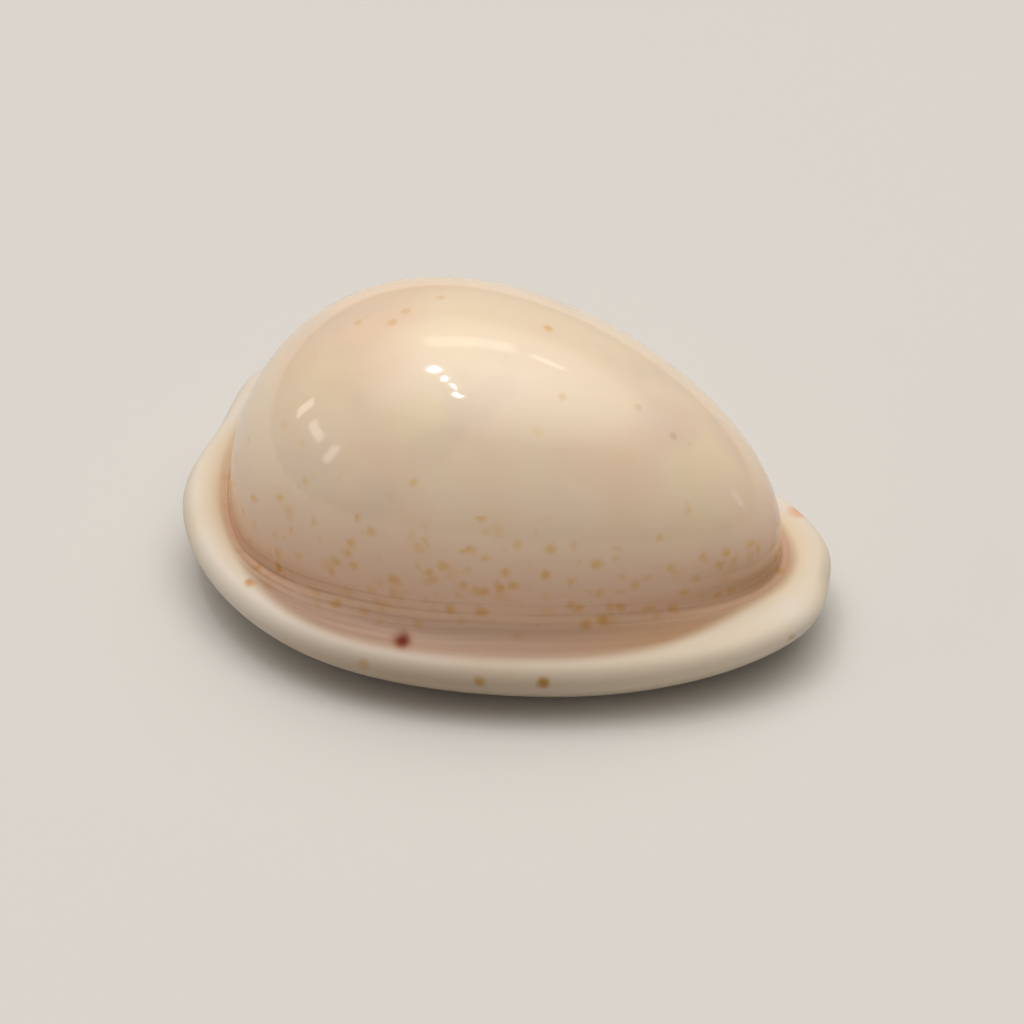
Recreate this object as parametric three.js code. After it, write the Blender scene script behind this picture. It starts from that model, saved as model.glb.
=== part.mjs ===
// A cowrie: the glossy, egg-shaped shell of a sea snail, with a thick callus round its margin.
// It grew as one piece, so it is one closed solid: a bowl turned over, whose mouth is drawn
// together under the base to a long toothed slit. The skin of that bowl is a grid. Its columns
// run from the crown of the back over the margin and across the base to the lip of the slit,
// and on up the inside to the underside of the crown. Its rows run round the shell.
// Units are millimetres. +X points to the front (siphon) end, -Y to the outer lip, +Z up.
import * as THREE from "three";

// Driving dimensions of the whole shell.
const LENGTH = 38;
const HEIGHT = 17.7;
const HALF_WIDTH = 12.65;
const WALL = 1.4; // thickness of the back's wall

// The dome of the back stands inside the margin, set in by these widths of flange.
const FLANGE = { front: 3, rear: 2.2, outer: 2.75, inner: 1.2 };
const EQUATOR_HEIGHT = 6.7; // where the dome is widest
const RIM_HEIGHT = 3.78; // top of the margin along both sides
const END_RISE = 0.76; // the rim stands this much higher at both ends
const RIM_OVERHANG = 0.45; // how far the rolled rim swells out past the line of the margin

// The base: a long slit with a canal at each end, and a flat spot on each lip to rest on.
const SLIT_HALF_LENGTH = 17.6;
const SLIT_HALF_GAP = 1.05;
const REST_HALF_LENGTH = 6;
const END_SWEEP = 0.01; // how fast both ends of the base turn up, per mm
const UNDERCUT = 0.085; // how far the rim's underside draws in, as a share of the way to the slit
const CANAL_ROOF = 2.7;
const FLOOR_HEIGHT = 4.3; // of the inside, above the base
const TOOTH_REACH = 14; // teeth stand as far as this from the middle of the slit
const OUTER_TEETH = { pitch: 1.75, height: 0.34 };
const INNER_TEETH = { pitch: 1.9, height: 0.26 };

// Where the two canals notch the margin, as angles round the shell from the front end.
const FRONT_CANAL = { angle: 0.1, depth: 0.46, spread: 0.21 };
const REAR_CANAL = { angle: Math.PI - 0.13, depth: 1.01, spread: 0.211 };
// The callus that covers the spire climbs the back beside the rear canal.
const SPIRE_CALLUS = { angle: 2.707, spread: 0.462, rise: 2.72, climb: 30, swell: 0.2 };

const halfLength = LENGTH / 2;
const domeHalfLength = halfLength - (FLANGE.front + FLANGE.rear) / 2;
const domeHalfWidth = HALF_WIDTH - (FLANGE.outer + FLANGE.inner) / 2;
const domeMiddleX = (FLANGE.rear - FLANGE.front) / 2;
const domeMiddleY = (FLANGE.outer - FLANGE.inner) / 2;
const domeRise = HEIGHT - EQUATOR_HEIGHT;

const { cos, sin, exp, hypot, abs, max, min, PI } = Math;
const { degToRad, lerp } = THREE.MathUtils;

// A bell-shaped bump of height 1 in the angle round the shell.
function bump(angle, { angle: middle, spread }) {
  const off = Math.atan2(sin(angle - middle), cos(angle - middle));
  return exp(-((off / spread) ** 2));
}

// The angle round the margin of the column that meets the slit at angle u. Columns crowd
// together at the ends, and are turned so that the end ones run down the two canals.
function marginAngle(u) {
  const towardsFront = (1 + cos(u)) / 2;
  const turn = FRONT_CANAL.angle * towardsFront + (REAR_CANAL.angle - PI) * (1 - towardsFront);
  return u - 0.25 * sin(2 * u) + turn;
}

// The line of the margin: an oval, broad at the rear, notched at both canals. Its height is
// that of the rim's top, which stands high at both ends and over the spire.
function marginPoint(angle) {
  const c = cos(angle);
  const s = sin(angle);
  const x = halfLength * c;
  const y = HALF_WIDTH * s * (1 - 0.209 * c + 0.078 * c ** 3);
  const spire = bump(angle, SPIRE_CALLUS);
  const notch =
    FRONT_CANAL.depth * bump(angle, FRONT_CANAL) + REAR_CANAL.depth * bump(angle, REAR_CANAL);
  const outwards = 1 + (SPIRE_CALLUS.swell * spire - notch) / hypot(x, y);
  const height = RIM_HEIGHT + END_RISE * c * c - 0.14 * c + SPIRE_CALLUS.rise * spire;
  return new THREE.Vector3(x * outwards, y * outwards, height);
}

// The dome: a ball stretched to the shell's size, swollen towards the rear and narrow in
// front. latitude is 0 at the crown. inset moves the whole surface inwards, for the inside.
function domePoint(angle, latitude, inset = 0) {
  const p = sin(latitude) * cos(angle);
  const q = sin(latitude) * sin(angle);
  const x = domeMiddleX + (domeHalfLength - inset) * p;
  const y = domeMiddleY + (domeHalfWidth - inset) * q * (1 + 0.036 * p * p) * (1 - 0.244 * p);
  const equator = EQUATOR_HEIGHT + 0.226 * p - 1.54 * p * p;
  const z = equator + (domeRise - inset) * cos(latitude) * (1 - 0.196 * p + 0.111 * p * p);
  return new THREE.Vector3(x, y, z);
}

// Latitude, in radians, at which a column leaves the dome: less where the callus climbs it.
function footLatitude(angle, degrees = 84) {
  return degToRad(degrees - SPIRE_CALLUS.climb * bump(angle, SPIRE_CALLUS));
}

// The middle line and half gap of the slit. It bows towards the outer lip and gapes in front.
// reach is its half length, less in the throat than at the mouth.
function slitPoint(u, reach = SLIT_HALF_LENGTH) {
  const along = cos(u);
  const middle = -0.7 - 0.4 * along + 2.4 * along ** 2;
  const halfGap = SLIT_HALF_GAP + 0.35 * along + 0.2 * along ** 2;
  const across = sin(u) / hypot(sin(u), 0.2);
  return new THREE.Vector2(reach * along, middle + halfGap * across);
}

// Teeth are ridges across the lips: full height on a crest, 0 in a valley and at the ends.
function tooth(u) {
  const x = SLIT_HALF_LENGTH * cos(u);
  const { pitch, height } = sin(u) < 0 ? OUTER_TEETH : INNER_TEETH;
  const fade = min(1, max(0, (TOOTH_REACH + 1 - abs(x)) / 2));
  return height * fade * (0.5 + 0.5 * cos((2 * PI * x) / pitch));
}

// 1 where a column runs along the roof of a canal, 0 where it runs down a lip.
function canal(u) {
  return exp(-((sin(u) / 0.21) ** 4));
}

// One column's upright plane across the flange. at(out, height) is a point in that plane, out
// millimetres from the groove at the dome's foot; the rim reaches to out = reach.
function flangeFrame(angle) {
  const groove = domePoint(angle, footLatitude(angle, 97));
  const margin = marginPoint(angle);
  const width = hypot(margin.x - groove.x, margin.y - groove.y);
  const at = (out, height) => {
    const x = lerp(groove.x, margin.x, out / width);
    const y = lerp(groove.y, margin.y, out / width);
    return new THREE.Vector3(x, y, height);
  };
  return { at, reach: width + RIM_OVERHANG, grooveHeight: groove.z, rimHeight: margin.z };
}

// How much higher than at its middle the base stands at x, near an end of the shell.
function endSweep(x) {
  return END_SWEEP * max(0, abs(x) - REST_HALF_LENGTH) ** 2;
}

// Control points from the foot of the dome across the flange and round the rolled rim. The
// flank runs out into the flange in a hollow curve, and the rim rolls over and under.
function rimControls(u) {
  const angle = marginAngle(u);
  const { at, reach, grooveHeight, rimHeight } = flangeFrame(angle);
  const drop = grooveHeight - rimHeight;
  const edge = at(reach, 0);
  const mouth = slitPoint(u);
  const tuck = UNDERCUT * hypot(edge.x - mouth.x, edge.y - mouth.y);
  const sweep = endSweep(edge.x);
  const nose = 0.68 * rimHeight + 0.35 * sweep;
  const chin = 0.35 * rimHeight + 0.85 * sweep;
  return [
    domePoint(angle, footLatitude(angle)),
    domePoint(angle, footLatitude(angle, 91)),
    at(0.02 * reach, grooveHeight),
    at(0.16 * reach, grooveHeight - 0.5 * drop),
    at(0.415 * reach, grooveHeight - 0.88 * drop),
    at(0.68 * reach, rimHeight + 0.02),
    at(reach - 0.35, rimHeight - 0.1),
    at(reach + 0.2, lerp(nose, rimHeight - 1.2, canal(u))),
    at(reach - tuck, lerp(chin, CANAL_ROOF + 0.45, canal(u))),
  ];
}

// Control points across the base, round the lip of the slit and up the inside to the crown.
function baseControls(u) {
  const { at, reach, rimHeight } = flangeFrame(marginAngle(u));
  const margin = at(reach, 0);
  const mouth = slitPoint(u);
  const ridge = tooth(u);
  const roofed = canal(u);
  const side = Math.sign(sin(u));
  // inwards is 0 at the margin and 1 at the lip; roof is the height along a canal
  const base = (inwards, height, roof) => {
    const x = lerp(margin.x, mouth.x, inwards);
    const y = lerp(margin.y, mouth.y, inwards);
    return new THREE.Vector3(x, y, lerp(height + endSweep(x), roof, roofed));
  };
  // the walls of the slit, where the teeth stand into the gap
  const throat = (length, spread, height, roof, relief) => {
    const slit = slitPoint(u, length);
    const y = slit.y + side * (spread - relief * ridge) * (1 - roofed);
    return new THREE.Vector3(slit.x, y, lerp(height, roof, roofed));
  };
  const inside = (degrees) => domePoint(marginAngle(u), degToRad(degrees), WALL);
  const floorEdge = inside(104).setZ(FLOOR_HEIGHT + 0.9);
  const throatTop = slitPoint(u, 14);
  const floor = new THREE.Vector3(throatTop.x, throatTop.y, FLOOR_HEIGHT)
    .lerp(floorEdge, 0.35)
    .setZ(FLOOR_HEIGHT);
  return [
    base(0.17, 0.13 * rimHeight, CANAL_ROOF + 0.1),
    base(0.29, 0, CANAL_ROOF),
    base(0.43, 0, CANAL_ROOF),
    base(0.6, 0, CANAL_ROOF),
    base(0.78, 0, CANAL_ROOF),
    base(0.92, 0.35 - 0.6 * ridge, CANAL_ROOF),
    throat(17.2, 0.1, 1 - 0.4 * ridge, CANAL_ROOF, 1),
    throat(16.3, 0.15, 2.1, CANAL_ROOF + 0.1, 1),
    throat(14.8, 0.6, 3.3, CANAL_ROOF + 0.7, 0.5),
    floor,
    floorEdge,
    ...[86, 66, 46, 24, 0].map(inside),
  ];
}

// A point on the uniform cubic B-spline of the control points, which starts and ends on its
// first and last ones. position counts spans from 0.
function splinePoint(points, position) {
  const last = points.length - 1;
  const span = min(Math.floor(position), last - 1);
  const t = position - span;
  const at = (k) => {
    if (k < 0) return points[0].clone().multiplyScalar(2).sub(points[1]);
    if (k > last) return points[last].clone().multiplyScalar(2).sub(points[last - 1]);
    return points[k];
  };
  const weights = [
    (1 - t) ** 3,
    3 * t ** 3 - 6 * t ** 2 + 4,
    -3 * t ** 3 + 3 * t ** 2 + 3 * t + 1,
    t ** 3,
  ];
  const sum = new THREE.Vector3();
  weights.forEach((w, i) => sum.addScaledVector(at(span - 1 + i), w / 6));
  return sum;
}

// Slit angles of the columns, all the way round: one on each tooth's crest and one in each
// valley, and evenly spaced ones round the two ends.
function columnAngles() {
  const END_COLUMNS = 9;
  const lipAngles = ({ pitch }) => {
    const steps = Math.floor(TOOTH_REACH / (pitch / 2));
    const angles = [];
    for (let k = steps; k >= -steps; k--) angles.push(Math.acos((k * pitch) / 2 / SLIT_HALF_LENGTH));
    return angles;
  };
  const inner = lipAngles(INNER_TEETH);
  const outer = lipAngles(OUTER_TEETH).map((u) => 2 * PI - u).reverse();
  const between = (from, to) => {
    const angles = [];
    for (let k = 1; k <= END_COLUMNS; k++) angles.push(from + ((to - from) * k) / (END_COLUMNS + 1));
    return angles;
  };
  const rear = between(inner.at(-1), outer[0]);
  const front = between(outer.at(-1), inner[0] + 2 * PI);
  return [...inner, ...rear, ...outer, ...front];
}

// Positions along the spline at which rows are made: two to a span over the rim and the lips,
// one to a span on the flat of the base and on the inside.
function rowPositions(spans) {
  const RIM_SPANS = 10;
  const LIP_FROM = 13;
  const LIP_TO = 18;
  const positions = [];
  for (let k = 0; k < spans; k++) {
    if (k > 0) positions.push(k);
    if (k < RIM_SPANS || (k >= LIP_FROM && k < LIP_TO)) positions.push(k + 0.5);
  }
  return positions;
}

// The points of one column, from just below the crown to just short of the crown's underside.
function columnPoints(u) {
  const DOME_ROWS = 9;
  const angle = marginAngle(u);
  const controls = [...rimControls(u), ...baseControls(u)];
  const points = [];
  for (let k = 1; k <= DOME_ROWS; k++) {
    points.push(domePoint(angle, (footLatitude(angle) * k) / DOME_ROWS));
  }
  for (const k of rowPositions(controls.length - 1)) points.push(splinePoint(controls, k));
  return points;
}

// The closed skin as an indexed grid between two poles: the crown and the crown's underside.
function shellGeometry() {
  const columns = columnAngles().map(columnPoints);
  const count = columns.length;
  const rows = columns[0].length;
  const vertices = [domePoint(0, 0), domePoint(0, 0, WALL), ...columns.flat()];
  const vertex = (column, row) => {
    if (row < 0) return 0;
    if (row === rows) return 1;
    return 2 + (column % count) * rows + row;
  };
  const faces = [];
  for (let i = 0; i < count; i++) {
    for (let j = -1; j < rows; j++) {
      const here = vertex(i, j);
      const below = vertex(i, j + 1);
      const across = vertex(i + 1, j + 1);
      const beside = vertex(i + 1, j);
      if (j < rows - 1) faces.push(here, below, across);
      if (j >= 0) faces.push(here, j < rows - 1 ? across : below, beside);
    }
  }
  const geometry = new THREE.BufferGeometry();
  geometry.setFromPoints(vertices);
  geometry.setIndex(faces);
  return geometry;
}

// The whole shell, with its origin on the base below the middle of its bounding box.
function makeShell() {
  const geometry = shellGeometry();
  geometry.computeBoundingBox();
  const box = geometry.boundingBox;
  const middle = box.getCenter(new THREE.Vector3());
  geometry.translate(-middle.x, -middle.y, -box.min.z);
  geometry.computeVertexNormals();
  const porcelain = new THREE.MeshStandardMaterial({
    color: 0xe3ccb0,
    roughness: 0.15,
    metalness: 0,
  });
  const mesh = new THREE.Mesh(geometry, porcelain);
  mesh.name = "cowrie_shell";
  return mesh;
}

const cowrie = new THREE.Group();
cowrie.add(makeShell());

export default cowrie;
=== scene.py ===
from math import cos, pi, radians, sin

import bpy
import numpy as np
from mathutils import Matrix, Vector


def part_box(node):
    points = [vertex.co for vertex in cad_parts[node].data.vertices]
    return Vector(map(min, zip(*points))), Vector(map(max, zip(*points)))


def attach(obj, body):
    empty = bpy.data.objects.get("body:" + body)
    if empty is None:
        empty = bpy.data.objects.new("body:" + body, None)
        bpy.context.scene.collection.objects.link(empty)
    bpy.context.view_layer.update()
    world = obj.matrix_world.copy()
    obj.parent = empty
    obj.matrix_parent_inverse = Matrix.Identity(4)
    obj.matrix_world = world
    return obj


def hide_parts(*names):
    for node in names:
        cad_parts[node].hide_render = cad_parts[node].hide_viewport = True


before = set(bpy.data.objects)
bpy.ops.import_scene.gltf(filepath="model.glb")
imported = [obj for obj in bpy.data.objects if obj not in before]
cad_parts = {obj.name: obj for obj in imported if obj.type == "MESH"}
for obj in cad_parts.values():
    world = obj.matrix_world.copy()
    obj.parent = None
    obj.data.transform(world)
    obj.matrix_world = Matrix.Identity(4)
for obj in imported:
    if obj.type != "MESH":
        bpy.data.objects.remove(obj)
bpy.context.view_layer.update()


# The shell. A cowrie lays its shell down as layers of aragonite, a natural porcelain, and
# wraps its mantle round the outside to glaze it. The back is a thin dome; a thick callus is
# laid over its foot as a rolled margin, and runs on across the base to the toothed slit.
# It is one closed skin, a grid: columns run from the crown over the margin, across the base
# and up the inside; rows run round the shell. Lengths are in millimetres until the skin is set
# into the frame, in metres.
LENGTH = 38.0
HEIGHT = 17.7
HALF_WIDTH = 12.65
WALL = 1.4
FLANGE_FRONT, FLANGE_REAR, FLANGE_OUTER, FLANGE_INNER = 3.0, 2.2, 2.75, 1.2
EQUATOR_HEIGHT = 6.7
RIM_HEIGHT = 3.78
END_RISE = 0.76
RIM_OVERHANG = 0.45
UNDERCUT = 0.085
SLIT_HALF_LENGTH = 17.6
TOOTH_REACH = 15  # the teeth fade out this far from the middle of the slit
OUTER_PITCH, OUTER_TOOTH = 1.75, 0.34  # spacing and height of the outer lip's teeth
INNER_PITCH, INNER_TOOTH = 1.9, 0.26
CANAL_ROOF = 2.7
FLOOR_HEIGHT = 4.3
FRONT_CANAL = (0.1, 0.21, 0.46)  # angle round the shell, spread, depth of the notch
REAR_CANAL = (pi - 0.13, 0.211, 1.01)
SPIRE = (2.707, 0.462)  # angle and spread of the callus that climbs over the spire
SPIRE_RISE, SPIRE_CLIMB, SPIRE_SWELL = 2.72, 30.0, 0.2

DOME_LENGTH = LENGTH / 2 - (FLANGE_FRONT + FLANGE_REAR) / 2
DOME_WIDTH = HALF_WIDTH - (FLANGE_OUTER + FLANGE_INNER) / 2
DOME_X = (FLANGE_REAR - FLANGE_FRONT) / 2
DOME_Y = (FLANGE_OUTER - FLANGE_INNER) / 2


def bell(value, middle, spread):
    """A bump of height 1: exp(-(d/spread)^2), d being the distance from the middle."""
    return np.exp(-(((value - middle) / spread) ** 2))


def turn_from(angle, middle):
    """The angle from middle to angle, brought between minus pi and pi."""
    return np.angle(np.exp(1j * (angle - middle)))


def bell_round(angle, middle, spread):
    """bell, in the angle round the shell, which has no end."""
    return bell(turn_from(angle, middle), 0, spread)


def margin_angle(u):
    """Angle round the margin of the column that meets the slit at angle u: u less a quarter
    of sin 2u, which crowds columns at the ends, turned so the end ones run down the canals."""
    front = (1 + np.cos(u)) / 2
    return u - 0.25 * np.sin(2 * u) + FRONT_CANAL[0] * front + (REAR_CANAL[0] - pi) * (1 - front)


def margin(angle):
    """The rim's line: an oval x = a cos, y = b sin, broad at the rear, pushed in at the two
    canals; its height rises with the square of cos to both ends and bulges over the spire."""
    c, s = np.cos(angle), np.sin(angle)
    x = LENGTH / 2 * c
    y = HALF_WIDTH * s * (1 - 0.209 * c + 0.078 * c**3)
    spire = bell_round(angle, *SPIRE)
    notch = FRONT_CANAL[2] * bell_round(angle, *FRONT_CANAL[:2])
    notch = notch + REAR_CANAL[2] * bell_round(angle, *REAR_CANAL[:2])
    out = 1 + (SPIRE_SWELL * spire - notch) / np.hypot(x, y)
    z = RIM_HEIGHT + END_RISE * c * c - 0.14 * c + SPIRE_RISE * spire
    return x * out, y * out, z


def dome(angle, latitude, inset=0.0):
    """The back: a ball (sin lat cos, sin lat sin, cos lat) stretched to the shell's half
    length, half width and rise, narrowed and lowered towards the front."""
    p = np.sin(latitude) * np.cos(angle)
    q = np.sin(latitude) * np.sin(angle)
    x = DOME_X + (DOME_LENGTH - inset) * p
    y = DOME_Y + (DOME_WIDTH - inset) * q * (1 + 0.036 * p * p) * (1 - 0.244 * p)
    equator = EQUATOR_HEIGHT + 0.226 * p - 1.54 * p * p
    rise = HEIGHT - EQUATOR_HEIGHT - inset
    z = equator + rise * np.cos(latitude) * (1 - 0.196 * p + 0.111 * p * p)
    return np.array([x, y, z])


def foot_latitude(angle, degrees=84.0):
    """Latitude in radians where a column leaves the dome: less where the spire's callus is."""
    return np.radians(degrees - SPIRE_CLIMB * bell_round(angle, *SPIRE))


def slit(u, reach=SLIT_HALF_LENGTH):
    """The slit's outline: x = reach cos u; y is a middle line that bows with x squared, plus a
    half gap that widens to the front, times sin u squared off to a long flat-sided loop."""
    along = np.cos(u)
    middle = -0.7 - 0.4 * along + 2.4 * along**2
    gap = 1.05 + 0.35 * along + 0.2 * along**2
    return reach * along, middle + gap * np.sin(u) / np.hypot(np.sin(u), 0.2)


def tooth(u):
    """Ridges across the lips: height times (1 + cos(2 pi x / pitch)) / 2, fading at the ends."""
    x = SLIT_HALF_LENGTH * np.cos(u)
    outer = np.sin(u) < 0
    pitch = np.where(outer, OUTER_PITCH, INNER_PITCH)
    height = np.where(outer, OUTER_TOOTH, INNER_TOOTH)
    fade = np.clip((TOOTH_REACH - np.abs(x)) / 2, 0, 1)
    return height * fade * (0.5 + 0.5 * np.cos(2 * pi * x / pitch))


def mix(a, b, share):
    """a + (b - a) times share."""
    return a + (b - a) * share


def end_sweep(x):
    """How much the base rises towards its ends: 0.01 times the square of x beyond 6 mm."""
    return 0.01 * np.maximum(0, np.abs(x) - 6) ** 2


def column_controls(u):
    """Control points of every column's spline, from the dome's foot over the flange, round the
    rim, across the base, up through the slit and over the inside of the dome to its crown."""
    angle = margin_angle(u)
    roofed = np.exp(-((np.sin(u) / 0.21) ** 4))
    groove = dome(angle, foot_latitude(angle, 97))
    rim_x, rim_y, rim = margin(angle)
    width = np.hypot(rim_x - groove[0], rim_y - groove[1])
    reach = width + RIM_OVERHANG
    drop = groove[2] - rim

    def over_flange(out, z):
        share = out / width
        return np.array([mix(groove[0], rim_x, share), mix(groove[1], rim_y, share), z + 0 * u])

    edge = over_flange(reach, 0)
    mouth = slit(u)
    ridge = tooth(u)
    tuck = UNDERCUT * np.hypot(edge[0] - mouth[0], edge[1] - mouth[1])
    sweep = end_sweep(edge[0])

    def on_base(inwards, z, roof=CANAL_ROOF):
        x, y = mix(edge[0], mouth[0], inwards), mix(edge[1], mouth[1], inwards)
        return np.array([x, y, mix(z + end_sweep(x), roof, roofed)])

    def in_throat(length, spread, z, roof, relief):
        x, y = slit(u, length)
        y = y + np.sign(np.sin(u)) * (spread - relief * ridge) * (1 - roofed)
        return np.array([x, y, mix(z, roof, roofed)])

    inside = [dome(angle, radians(k), WALL) for k in (104, 86, 66, 46, 24, 0)]
    inside[0][2] = FLOOR_HEIGHT + 0.9
    top = slit(u, 14)
    floor = np.array([mix(top[0], inside[0][0], 0.35), mix(top[1], inside[0][1], 0.35),
                      FLOOR_HEIGHT + 0 * u])
    return np.array([
        dome(angle, foot_latitude(angle)),
        dome(angle, foot_latitude(angle, 91)),
        over_flange(0.02 * reach, groove[2]),
        over_flange(0.16 * reach, groove[2] - 0.5 * drop),
        over_flange(0.415 * reach, groove[2] - 0.88 * drop),
        over_flange(0.68 * reach, rim + 0.02),
        over_flange(reach - 0.35, rim - 0.1),
        over_flange(reach + 0.2, mix(0.68 * rim + 0.35 * sweep, rim - 1.2, roofed)),
        over_flange(reach - tuck, mix(0.35 * rim + 0.85 * sweep, CANAL_ROOF + 0.45, roofed)),
        on_base(0.17, 0.13 * rim, CANAL_ROOF + 0.1),
        on_base(0.29, 0),
        on_base(0.43, 0),
        on_base(0.6, 0),
        on_base(0.78, 0),
        on_base(0.92, 0.35 - 0.6 * ridge),
        in_throat(17.2, 0.1, 1 - 0.4 * ridge, CANAL_ROOF, 1),
        in_throat(16.3, 0.15, 2.1, CANAL_ROOF + 0.1, 1),
        in_throat(14.8, 0.6, 3.3, CANAL_ROOF + 0.7, 0.5),
        floor,
        *inside,
    ])


def spline(controls, positions):
    """The uniform cubic B-spline of the control points at positions counted in spans. Each
    point is four controls weighted by (1-t)^3, 3t^3-6t^2+4, -3t^3+3t^2+3t+1 and t^3, over 6."""
    first, last = 2 * controls[:1] - controls[1:2], 2 * controls[-1:] - controls[-2:-1]
    padded = np.concatenate([first, controls, last])
    span = np.minimum(positions.astype(int), len(controls) - 2)
    t = (positions - span)[:, None, None]
    weights = ((1 - t) ** 3, 3 * t**3 - 6 * t**2 + 4, -3 * t**3 + 3 * t**2 + 3 * t + 1, t**3)
    return sum(w * padded[span + k] for k, w in enumerate(weights)) / 6


COLUMNS = 640
DOME_ROWS = 34
ROW_STEP = 0.2  # spans of spline between rows on the flange
GROOVE_SPAN = 2.0  # where along the spline the groove at the dome's foot lies


def shell_rows():
    """Points of the skin as (rows, 3, columns), the two poles left out, with each column's
    angle and each point's distance along its column from the groove, outwards positive."""
    u = 2 * pi * np.arange(COLUMNS) / COLUMNS
    angle = margin_angle(u)
    share = np.arange(1, DOME_ROWS)[:, None] / DOME_ROWS
    back = dome(angle[None], foot_latitude(angle)[None] * share).transpose(1, 0, 2)
    # rows lie closest round the rim, across the base and over the teeth
    steps = [np.arange(0, 10, ROW_STEP), np.arange(10, 13, 0.34), np.arange(13, 18, 0.17),
             np.arange(18, 24, 0.5)]
    rows = np.concatenate([back, spline(column_controls(u), np.concatenate(steps))])
    crown = np.repeat(dome(0.0, 0.0)[None, :, None], COLUMNS, 2)
    walk = np.cumsum(np.linalg.norm(np.diff(rows, axis=0, prepend=crown), axis=1), axis=0)
    groove_row = DOME_ROWS - 1 + int(round(GROOVE_SPAN / ROW_STEP))
    return rows, angle, walk - walk[groove_row]


def closed_mesh(name, rows, first_pole, last_pole):
    """A closed mesh from rows of points that go right round, with a point at each pole."""
    count, _, columns = rows.shape
    points = np.concatenate([rows.transpose(0, 2, 1).reshape(-1, 3), [first_pole, last_pole]])
    i = np.arange(count - 1)[:, None] * columns
    j = np.arange(columns)[None, :]
    k = (j + 1) % columns
    quads = np.stack([i + j, i + columns + j, i + columns + k, i + k], -1).reshape(-1, 4)
    j, k = j[0], k[0]
    end = (count - 1) * columns
    fans = [np.stack([np.full(columns, len(points) - 2), j, k], -1),
            np.stack([end + j, np.full(columns, len(points) - 1), end + k], -1)]
    mesh = bpy.data.meshes.new(name)
    mesh.from_pydata(points, [], [*quads.tolist(), *fans[0].tolist(), *fans[1].tolist()])
    mesh.shade_smooth()
    return mesh


rows, angle, from_groove = shell_rows()
poles = np.array([dome(0.0, 0.0), dome(0.0, 0.0, WALL)])

# The skin is set into the CAD shell's own box, which is a hair different from the sizes above
# because that shell's facets cut its corners.
low, high = (np.array(corner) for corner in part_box("cowrie_shell"))
skin_low, skin_high = rows.min((0, 2)), rows.max((0, 2))
fit = (high - low) / (skin_high - skin_low)
rows = low[None, :, None] + (rows - skin_low[None, :, None]) * fit[None, :, None]
poles = low + (poles - skin_low) * fit
shell_mesh = closed_mesh("cowrie_shell_skin", rows, *poles)
shell = bpy.data.objects.new("cowrie_shell_skin", shell_mesh)
bpy.context.collection.objects.link(shell)


def give(mesh, name, values, pole_values=(0.0, 0.0)):
    """Stores one number per point of the grid, for the material to read."""
    values = np.broadcast_to(values, from_groove.shape)
    data = np.concatenate([np.float32(values).ravel(), np.float32(pole_values)])
    mesh.attributes.new(name, "FLOAT", "POINT").data.foreach_set("value", data)


def ramp(x, start, end):
    """0 before start, 1 after end, and 3t^2 - 2t^3 between."""
    t = np.clip((x - start) / (end - start), 0, 1)
    return t * t * (3 - 2 * t)


# The white callus starts at the groove at both ends, and well out on the flange along the
# sides, where a channel of bare flank colour is left between the groove and the callus.
degrees_round = np.degrees(turn_from(angle, 0))[None, :]
channel_width = 2.35 * np.exp(-(((degrees_round + 84) / 50) ** 4))
channel_width = channel_width + 1.0 * np.exp(-(((degrees_round - 90) / 40) ** 4))
callus_edge = 0.4 + channel_width + 0.5 * bell(degrees_round, 0, 26)
# from_groove is in mm; the others say how far a point belongs to each coloured region: 0 to 1.
give(shell_mesh, "from_groove", from_groove, (-25, 60))
give(shell_mesh, "callus", ramp(from_groove - callus_edge, -0.45, 0.5), (0, 1))
give(shell_mesh, "inside", ramp(from_groove, 15, 18), (0, 1))
give(shell_mesh, "front_stain",
     0.8 * bell(degrees_round, -14, 24) * bell(from_groove, -0.8 + 0.03 * (degrees_round + 14), 1.5)
     + 1.0 * bell(degrees_round, -44, 26) * bell(from_groove, 1.6, 1.3))
give(shell_mesh, "freckled",
     (0.08 + 0.92 * ramp(from_groove, -9.0, -2.5)) * (0.5 + 0.5 * bell(degrees_round, -95, 60)))
# painted shade: darker beneath the rim, most of all in front of the outer lip
give(shell_mesh, "underside_shade",
     ramp(from_groove, 2.0, 4.4) * (0.12 + 0.83 * bell(degrees_round, -95, 38)))
give(shell_mesh, "old_edge", 0.35 + 0.65 * bell(degrees_round, -140, 42))


def linear(colour):
    """An sRGB hex colour as linear red, green, blue and alpha 1."""
    parts = [int(colour[k:k + 2], 16) / 255 for k in (1, 3, 5)]
    return (*[c / 12.92 if c <= 0.04045 else ((c + 0.055) / 1.055) ** 2.4 for c in parts], 1)


def add(tree, kind, inputs=(), output=0, **settings):
    """Adds a shader node and returns one of its outputs, or the node if it has none. settings
    are its properties; inputs maps a socket's name or number to a value or to an output."""
    node = tree.nodes.new("ShaderNode" + kind)
    for key, value in settings.items():
        setattr(node, key, value)
    for key, value in dict(inputs).items():
        if isinstance(value, bpy.types.NodeSocket):
            tree.links.new(value, node.inputs[key])
        else:
            node.inputs[key].default_value = value
    return node.outputs[output] if node.outputs else node


def place_of(degrees, out):
    """The point of the skin with the least sum of misses: 0.2 mm for a degree round, and the
    distance out from the groove. Points past the outside of the shell are left out."""
    far_off = 99 * (from_groove >= 12)
    miss = np.abs(degrees_round - degrees) * 0.2 + np.abs(from_groove - out) + far_off
    row, column = np.unravel_index(np.argmin(miss), miss.shape)
    return rows[row, :, column]


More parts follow.
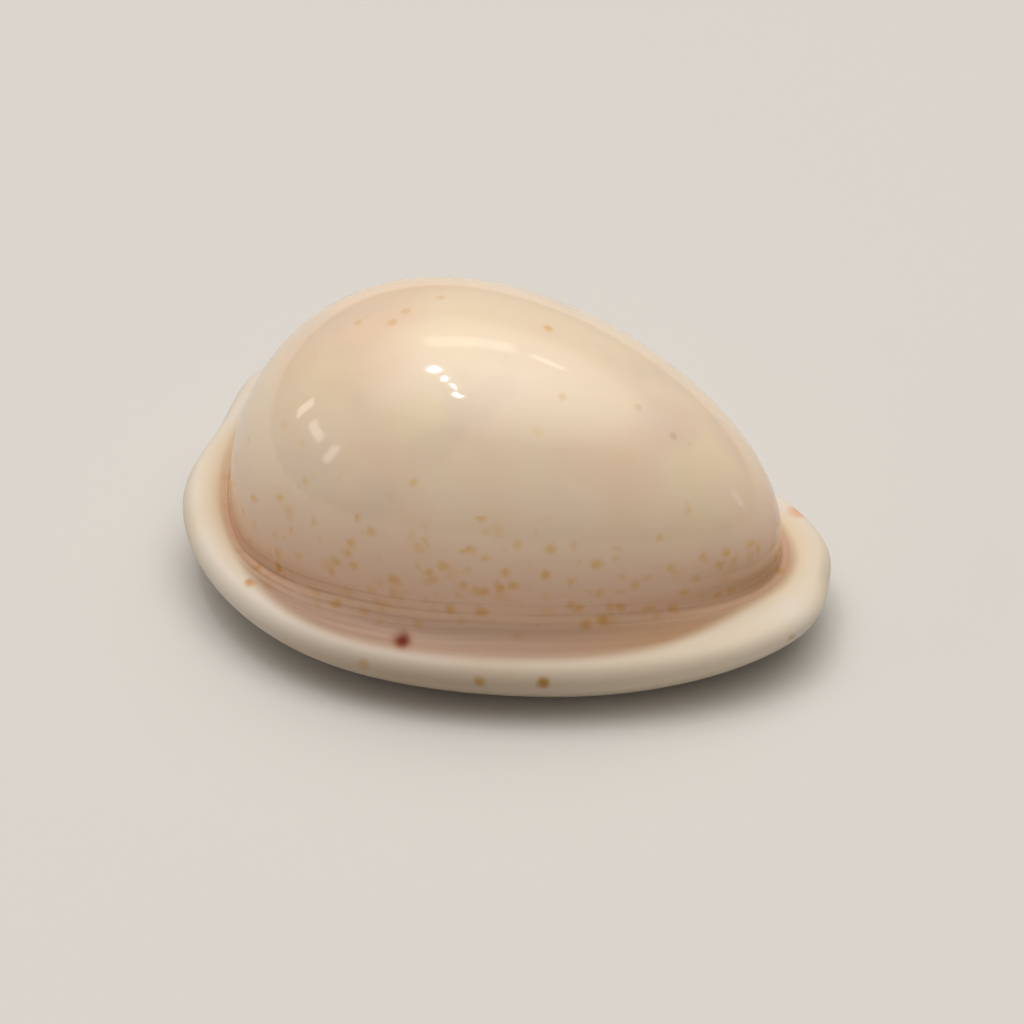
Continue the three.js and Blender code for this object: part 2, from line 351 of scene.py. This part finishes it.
# Glazed aragonite, laid down in thin films by the mantle: porcelain-smooth and glossy on the
# back, with tan freckles buried at several depths under the last films, so they look soft. The
# callus is thicker, whiter, and a little more satin. IOR of aragonite is 1.53 to 1.68.
glaze = bpy.data.materials.new("glazed_aragonite")
glaze.use_nodes = True
tree = glaze.node_tree
tree.nodes.clear()
SMOOTH = {"interpolation_type": "SMOOTHSTEP"}  # a Map Range that eases in and out
COLOUR = {"data_type": "RGBA"}  # a Mix of colours: sockets 6 and 7, output 2
place = add(tree, "TexCoord", output="Object")
out_mm = add(tree, "Attribute", output="Fac", attribute_name="from_groove")
callus = add(tree, "Attribute", output="Fac", attribute_name="callus")
old_edge = add(tree, "Attribute", output="Fac", attribute_name="old_edge")
front_stain = add(tree, "Attribute", output="Fac", attribute_name="front_stain")
inside = add(tree, "Attribute", output="Fac", attribute_name="inside")

# The back is cream with a lilac-grey middle, rosier and yellower in broad clouds; the flank
# darkens to a mauve tan towards the groove, partly its own colour and partly painted shade.
back = linear("#efdbc0")
for size, start, end, strength, colour in (
    (12, 0.42, 0.62, 0.8, "#edd1b5"),  # rosy
    (8, 0.52, 0.70, 0.7, "#efdebb"),  # yellow
    (6, 0.50, 0.72, 0.5, "#dfccba"),  # lilac grey
):
    drift = add(tree, "VectorMath", {0: place, 1: (size, 0, -size)}, operation="ADD")
    cloud = add(tree, "TexNoise", {"Vector": drift, "Scale": 1000 / size, "Detail": 3})
    share = add(tree, "MapRange", {0: cloud, 1: start, 2: end, 4: strength}, **SMOOTH)
    back = add(tree, "Mix", {0: share, 6: back, 7: linear(colour)}, 2, **COLOUR)
# partly the flank's own mauve tan, partly painted shade on the lower flank
flank_tan_and_shade = add(tree, "MapRange", {0: out_mm, 1: -8.0, 2: -0.5, 4: 0.9}, **SMOOTH)
base = add(tree, "Mix", {0: flank_tan_and_shade, 6: back, 7: linear("#dfb89c")}, 2, **COLOUR)

# The channel between the groove and the callus is a greyer mauve, with faint long streaks that
# wander a little in and out.
WOBBLE = 0.6  # mm, from the least to the most
wobble = add(tree, "TexNoise", {"Vector": place, "Scale": 1000 / 8, "Detail": 2})
track = add(tree, "Math", {0: wobble, 1: WOBBLE, 2: out_mm}, operation="MULTIPLY_ADD")
streak_place = add(tree, "CombineXYZ", {0: track, 1: old_edge})
streaks = add(tree, "TexNoise", {"Vector": streak_place, "Scale": 2.2, "Detail": 3})
streaks = add(tree, "MapRange", {0: streaks, 1: 0.35, 2: 0.65}, **SMOOTH)
channel = add(tree, "Mix", {0: streaks, 6: linear("#c0a28d"), 7: linear("#b79883")}, 2, **COLOUR)
share = add(tree, "MapRange", {0: out_mm, 1: 0.0, 2: 1.2}, **SMOOTH)
base = add(tree, "Mix", {0: share, 6: base, 7: channel}, 2, **COLOUR)

# Thin brown lines along the groove, where the mantle's edge used to stop: each a distance
# out from the groove, a half width and a strength.
patchy = add(tree, "TexNoise", {"Vector": place, "Scale": 1000 / 2.5, "Detail": 2})
patchy = add(tree, "MapRange", {0: patchy, 1: 0.25, 2: 0.55, 3: 0.25}, **SMOOTH)
patchy = add(tree, "Math", {0: patchy, 1: old_edge}, operation="MULTIPLY")
for out, half_width, strength in (
    (0.10, 0.16, 0.42),
    (0.62, 0.15, 0.32),
    (1.05, 0.14, 0.25),
    (-0.50, 0.14, 0.25),
):
    gap = add(tree, "Math", {0: track, 1: out + WOBBLE / 2}, operation="SUBTRACT")
    gap = add(tree, "Math", {0: gap}, operation="ABSOLUTE")
    line = add(tree, "MapRange", {0: gap, 1: half_width, 2: 0.0, 4: strength}, **SMOOTH)
    line = add(tree, "Math", {0: line, 1: patchy}, operation="MULTIPLY")
    base = add(tree, "Mix", {0: line, 6: base, 7: linear("#8a6047")}, 2, **COLOUR)

# A brown stain near the groove at the front, banded along the old edges.
bands = add(tree, "MapRange", {0: streaks, 3: 0.55, 4: 1.0})
stain = add(tree, "Math", {0: front_stain, 1: bands}, operation="MULTIPLY")
base = add(tree, "Mix", {0: stain, 6: base, 7: linear("#b48f6b")}, 2, **COLOUR)


RAGGED = 0.4  # mm, how uneven the edge of a freckle or a mark is


def freckles(spacing, radius, patch, crowd, seed):
    """Round soft dots at the centres of Voronoi cells of that spacing, kept where a noise with
    lumps of size patch is high; the share of skin that keeps them is crowd. All in mm."""
    moved = add(tree, "VectorMath", {0: place, 1: seed}, operation="ADD")
    ragged = add(tree, "TexNoise", {"Vector": moved, "Scale": 1600, "Detail": 1}, "Color")
    ragged = add(tree, "VectorMath", {0: ragged, 1: (RAGGED / 1000,) * 3, 2: moved},
                 operation="MULTIPLY_ADD")
    apart = add(tree, "TexVoronoi", {"Vector": ragged, "Scale": 1000 / spacing,
                                     "Randomness": 0.9}, "Distance")
    dot = add(tree, "MapRange", {0: apart, 1: radius / spacing, 2: 0.1 * radius / spacing},
              **SMOOTH)
    kept = add(tree, "TexNoise", {"Vector": moved, "Scale": 1000 / patch, "Detail": 1})
    least = add(tree, "MapRange", {0: crowd, 3: 0.72, 4: 0.36})
    most = add(tree, "Math", {0: least, 1: 0.1}, operation="ADD")
    kept = add(tree, "MapRange", {0: kept, 1: least, 2: most}, **SMOOTH)
    return add(tree, "Math", {0: dot, 1: kept}, operation="MULTIPLY")


# Freckles crowd the flank just above the groove, thin out towards the crown and never reach
# the callus. They tint the glaze over them, and fainter and larger ones lie deeper in it.
freckled = add(tree, "Attribute", output="Fac", attribute_name="freckled")
below = add(tree, "MapRange", {0: out_mm, 1: 2.0, 2: 0.5}, **SMOOTH)
crowd = add(tree, "Math", {0: freckled, 1: below}, operation="MULTIPLY")
bare = add(tree, "Math", {0: 1.0, 1: callus}, operation="SUBTRACT")
bare = add(tree, "Math", {0: bare, 1: below}, operation="MULTIPLY")
for spacing, radius, patch, seed, strength in (
    (1.15, 0.52, 1.8, (0.013, 0.002, 0.007), 1.0),
    (1.3, 0.56, 2.2, (0.031, 0.017, 0.003), 0.85),
    (1.7, 0.75, 3.0, (0.005, 0.041, 0.019), 0.5),
):
    dots = freckles(spacing, radius, patch, crowd, seed)
    share = add(tree, "Math", {0: dots, 1: strength}, operation="MULTIPLY")
    share = add(tree, "Math", {0: share, 1: bare}, operation="MULTIPLY")
    base = add(tree, "Mix", {0: share, 6: base, 7: linear("#f7e6b4")}, 2,
               blend_type="MULTIPLY", **COLOUR)

# The callus is creamy white, a touch warmer in broad patches, yellow where it is youngest and
# thinnest next to the groove, and darker beneath the rim towards the outer lip as painted shade;
# the inside is a pale mauve.
warm = add(tree, "TexNoise", {"Vector": place, "Scale": 1000 / 9, "Detail": 2})
warm = add(tree, "MapRange", {0: warm, 1: 0.42, 2: 0.66}, **SMOOTH)
white = add(tree, "Mix", {0: warm, 6: linear("#e3dacd"), 7: linear("#e0d3bf")}, 2, **COLOUR)
young = add(tree, "MapRange", {0: out_mm, 1: 2.2, 2: 0.4, 4: 0.6}, **SMOOTH)
white = add(tree, "Mix", {0: young, 6: white, 7: linear("#e2cda6")}, 2, **COLOUR)
# painted shade beneath the rim, mixed into the callus colour
underside_shade = add(tree, "Attribute", output="Fac", attribute_name="underside_shade")
white = add(tree, "Mix", {0: underside_shade, 6: white, 7: linear("#b7a48f")}, 2, **COLOUR)
base = add(tree, "Mix", {0: callus, 6: base, 7: white}, 2, **COLOUR)
base = add(tree, "Mix", {0: inside, 6: base, 7: linear("#d9c3ae")}, 2, **COLOUR)

# Single marks: each an angle round, a distance out from the groove, a radius in mm, a colour
# and a strength.
for degrees, out, radius, colour, strength in (
    (-98, 2.0, 0.85, "#b07440", 0.55),  # red-brown spot in the channel, with a paler halo
    (-98, 2.0, 0.62, "#782400", 1.0),
    (-73, 4.18, 0.52, "#a67830", 0.9),  # brown spots on the rim
    (-84, 4.20, 0.46, "#b08848", 0.8),
    (-104, 4.0, 0.44, "#b89868", 0.6),
    (-21, 4.35, 0.45, "#b08848", 0.6),
    (-133, 1.55, 0.45, "#c98a40", 0.7),
    (33, 2.6, 0.8, "#d88f52", 0.55),
    (118, 3.6, 0.55, "#b0843f", 0.7),
    (64, 3.8, 0.45, "#b88d4c", 0.6),
    (152, 2.4, 0.42, "#b88d4c", 0.6),
    (41, -18.0, 0.38, "#e0ad50", 0.6),  # lone freckles near the crown
    (-51, -14.2, 0.35, "#dcb47a", 0.45),
    (-18, -13.8, 0.35, "#dcb47a", 0.45),
    (-172, -14.5, 0.35, "#dcb47a", 0.5),
    (-167, -17.6, 0.35, "#dcb47a", 0.5),
    (-179, -16.3, 0.32, "#dcb47a", 0.45),
    (152, -12.6, 0.35, "#dcb47a", 0.45),
    (-18, -10.9, 0.30, "#c8a272", 0.45),
):
    ragged = add(tree, "TexNoise", {"Vector": place, "Scale": 1000 / 0.9, "Detail": 2})
    gap = add(tree, "VectorMath", {0: place, 1: place_of(degrees, out)}, "Value",
              operation="DISTANCE")
    gap = add(tree, "Math", {0: ragged, 1: RAGGED / 1000, 2: gap}, operation="MULTIPLY_ADD")
    spot = add(tree, "MapRange", {0: gap, 1: (radius * 1.15 + RAGGED / 2) / 1000,
                                  2: (radius * 0.2 + RAGGED / 2) / 1000, 4: strength}, **SMOOTH)
    base = add(tree, "Mix", {0: spot, 6: base, 7: linear(colour)}, 2, **COLOUR)

# The back reflects sharply, and nothing is quite even. The channel and callus are satin: they
# are rougher and reflect less.
gloss = add(tree, "TexNoise", {"Vector": place, "Scale": 1000 / 4, "Detail": 4})
gloss = add(tree, "MapRange", {0: gloss, 1: 0.3, 2: 0.7, 3: 0.055, 4: 0.10}, **SMOOTH)
hollow = add(tree, "MapRange", {0: out_mm, 1: -1.0, 2: 0.6, 4: 0.28}, **SMOOTH)
gloss = add(tree, "Math", {0: gloss, 1: hollow}, operation="ADD")
sheen = add(tree, "MapRange", {0: out_mm, 1: -1.0, 2: 0.6, 3: 0.5, 4: 0.1}, **SMOOTH)
skin = add(tree, "BsdfPrincipled", {
    "Base Color": base, "Roughness": gloss, "IOR": 1.56, "Specular IOR Level": sheen,
    "Subsurface Weight": 0.05, "Subsurface Radius": (1.0, 0.6, 0.4), "Subsurface Scale": 0.0012,
})
add(tree, "OutputMaterial", {"Surface": skin})
shell_mesh.materials.append(glaze)

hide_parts("cowrie_shell")
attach(shell, "root")


# The table it stands on: a matt pale sheet, swept far back so no edge shows.
paper_mesh = bpy.data.meshes.new("floor")
paper_mesh.from_pydata([(-3, -3, 0), (3, -3, 0), (3, 3, 0), (-3, 3, 0)], [], [(0, 1, 2, 3)])
paper = bpy.data.objects.new("floor", paper_mesh)
bpy.context.collection.objects.link(paper)
matt = bpy.data.materials.new("matt_paper")
matt.use_nodes = True
matt_shader = matt.node_tree.nodes["Principled BSDF"]
matt_shader.inputs["Base Color"].default_value = linear("#d7d6d3")
matt_shader.inputs["Roughness"].default_value = 0.9
paper_mesh.materials.append(matt)


# Light: one large soft box overhead, two lamps behind whose reflections are soft streaks, four
# small lamps in a row that give the glaze its bright points, three low ones on the left, a
# small bluish one low on the right, and a dim room.
def lamp(name, azimuth, elevation, distance, width, depth, watts, colour="#fff9f2", spread=180):
    """A rectangular soft light aimed at the shell; azimuth 0 is straight in front of the outer
    lip and 90 to the right. width lies level and depth across it. A spread under 180 degrees
    makes the lamp dimmer towards its edges."""
    a, e = radians(azimuth), radians(elevation)
    light = bpy.data.lights.new(name, "AREA")
    light.shape = "RECTANGLE"
    light.size, light.size_y, light.energy, light.color = width, depth, watts, linear(colour)[:3]
    light.spread = radians(spread)
    thing = bpy.data.objects.new(name, light)
    aim = Vector((0, 0, 0.009))
    thing.location = aim + distance * Vector((sin(a) * cos(e), -cos(a) * cos(e), sin(e)))
    thing.rotation_euler = (aim - thing.location).to_track_quat("-Z", "Y").to_euler()
    bpy.context.collection.objects.link(thing)


lamp("soft_box", 185, 79, 0.7, 1.3, 1.3, 3.75, spread=90)
lamp("strip_1", -159, 59, 0.6, 0.24, 0.08, 0.10)
lamp("strip_2", 166, 58, 0.6, 0.08, 0.035, 0.02)
lamp("point_1", -109, 73, 0.6, 0.034, 0.034, 0.12, "#f2f5ff")
lamp("point_2", -91, 78, 0.6, 0.03, 0.016, 0.04, "#f2f5ff")
lamp("point_3", -66, 80.5, 0.6, 0.035, 0.01, 0.03, "#f2f5ff")
lamp("point_4", -36, 78.5, 0.6, 0.03, 0.018, 0.06, "#f2f5ff")
lamp("low_1", -88, 21, 0.6, 0.05, 0.10, 0.045)
lamp("low_2", -70, 23.5, 0.6, 0.13, 0.05, 0.055)
lamp("low_3", -53, 22, 0.6, 0.05, 0.10, 0.045)
lamp("sky", 106, 10, 0.6, 0.06, 0.10, 0.025, "#c9d6f5")

world = bpy.data.worlds.new("room")
world.use_nodes = True
room = world.node_tree.nodes["Background"]
room.inputs["Color"].default_value = linear("#f2ede6")
room.inputs["Strength"].default_value = 0.26
bpy.context.scene.world = world
bpy.context.scene.view_settings.view_transform = "Standard"


# The camera: a long lens, in front of the outer lip and a little towards the siphon end,
# looking down on the back.
CAMERA_AZIMUTH, CAMERA_ELEVATION = radians(17.4), radians(39.45)
CAMERA_DISTANCE = 0.285
back_way = Vector((sin(CAMERA_AZIMUTH) * cos(CAMERA_ELEVATION),
                   -cos(CAMERA_AZIMUTH) * cos(CAMERA_ELEVATION), sin(CAMERA_ELEVATION)))
right_way = Vector((cos(CAMERA_AZIMUTH), sin(CAMERA_AZIMUTH), 0))
up_way = back_way.cross(right_way)
look_at = Vector((0, 0, 0.009)) + 0.00014 * right_way - 0.00314 * up_way
camera_data = bpy.data.cameras.new("camera")
camera_data.lens = 174.6
camera_data.sensor_width = 36
camera = bpy.data.objects.new("camera", camera_data)
camera.matrix_world = Matrix.Translation(look_at + CAMERA_DISTANCE * back_way) @ Matrix(
    (right_way, up_way, back_way)).transposed().to_4x4()
bpy.context.collection.objects.link(camera)
bpy.context.scene.camera = camera
